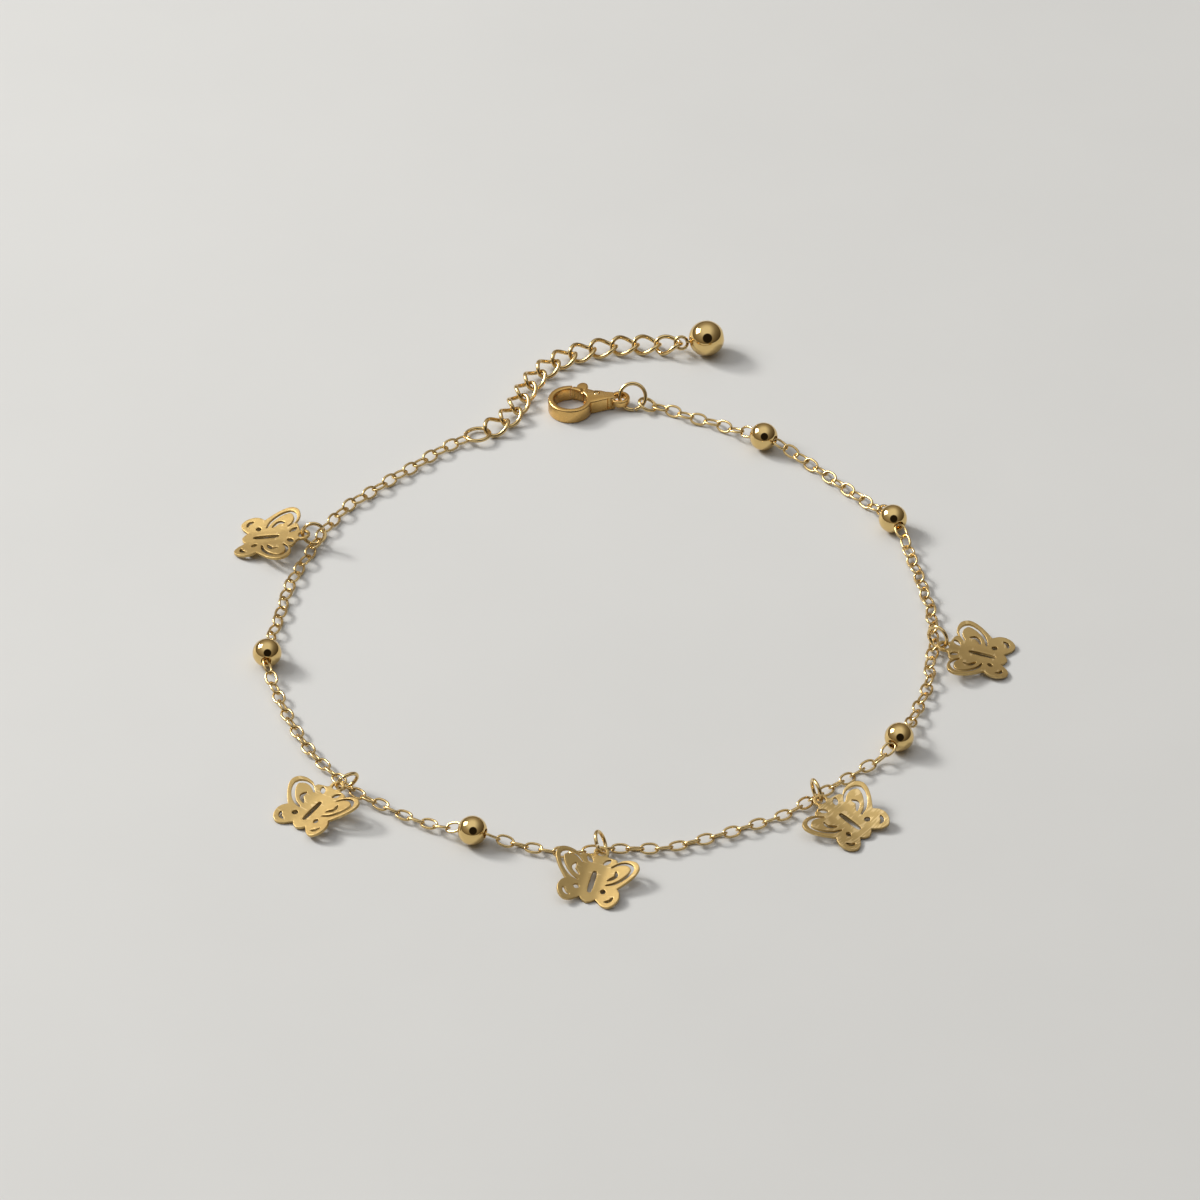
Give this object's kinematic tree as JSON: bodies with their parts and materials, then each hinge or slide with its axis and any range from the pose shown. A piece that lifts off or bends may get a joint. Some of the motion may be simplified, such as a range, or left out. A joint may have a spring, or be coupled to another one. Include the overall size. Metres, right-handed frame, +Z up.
{
  "type": "charm anklet",
  "caption": "Fine gold-coloured cable-chain anklet with round beads and pierced butterfly charms, a lobster clasp and an extension chain ending in a ball, lying on a flat surface.",
  "frame": {"origin": "bottom centre of the bounding box, on the surface that the anklet lies on", "axes": "+Z up from the surface; -Y is the near side, where the middle charm hangs; +Y is the far side, with the clasp and the extension; +X is to the right"},
  "size_m": [0.084, 0.0974, 0.004],
  "materials": {
    "chain_gold": "bright gold-coloured plated wire links",
    "polished_gold": "mirror-polished gold-coloured plating",
    "sheet_gold": "satin gold-coloured plated sheet with a fine grain",
    "cast_gold": "smooth satin gold-coloured plated casting",
    "ring_gold": "bright gold-coloured plated round wire"
  },
  "bodies": {
    "anklet": {"chain_01": "chain_gold", "chain_02": "chain_gold", "chain_03": "chain_gold", "chain_04": "chain_gold", "chain_05": "chain_gold", "chain_06": "chain_gold", "chain_07": "chain_gold", "chain_08": "chain_gold", "chain_09": "chain_gold", "chain_10": "chain_gold", "chain_11": "chain_gold", "bead_1": "polished_gold", "bead_2": "polished_gold", "bead_3": "polished_gold", "bead_4": "polished_gold", "bead_5": "polished_gold", "end_ball": "polished_gold", "butterfly_1": "sheet_gold", "butterfly_2": "sheet_gold", "butterfly_3": "sheet_gold", "butterfly_4": "sheet_gold", "butterfly_5": "sheet_gold", "clasp_body": "cast_gold", "charm_ring_1": "ring_gold", "charm_ring_2": "ring_gold", "charm_ring_3": "ring_gold", "charm_ring_4": "ring_gold", "charm_ring_5": "ring_gold", "clasp_ring": "ring_gold", "clasp_link": "ring_gold", "tag_ring": "ring_gold", "clasp_rivet": "ring_gold", "ball_pin": "ring_gold", "extension_link_01": "ring_gold", "extension_link_02": "ring_gold", "extension_link_03": "ring_gold", "extension_link_04": "ring_gold", "extension_link_05": "ring_gold", "extension_link_06": "ring_gold", "extension_link_07": "ring_gold", "extension_link_08": "ring_gold", "extension_link_09": "ring_gold", "extension_link_10": "ring_gold", "extension_link_11": "ring_gold", "extension_link_12": "ring_gold"},
    "lever": {"clasp_lever": "cast_gold"}
  },
  "joints": [
    {"name": "clasp_lever_hinge", "type": "hinge", "parent": "anklet", "child": "lever", "pos_m": [-0.00269, 0.03705, 0.00085], "axis": [0, 0, 1], "range_deg": [0, 20], "stiffness_Nm_per_rad": 0.002, "springref_deg": -20.05}
  ]
}
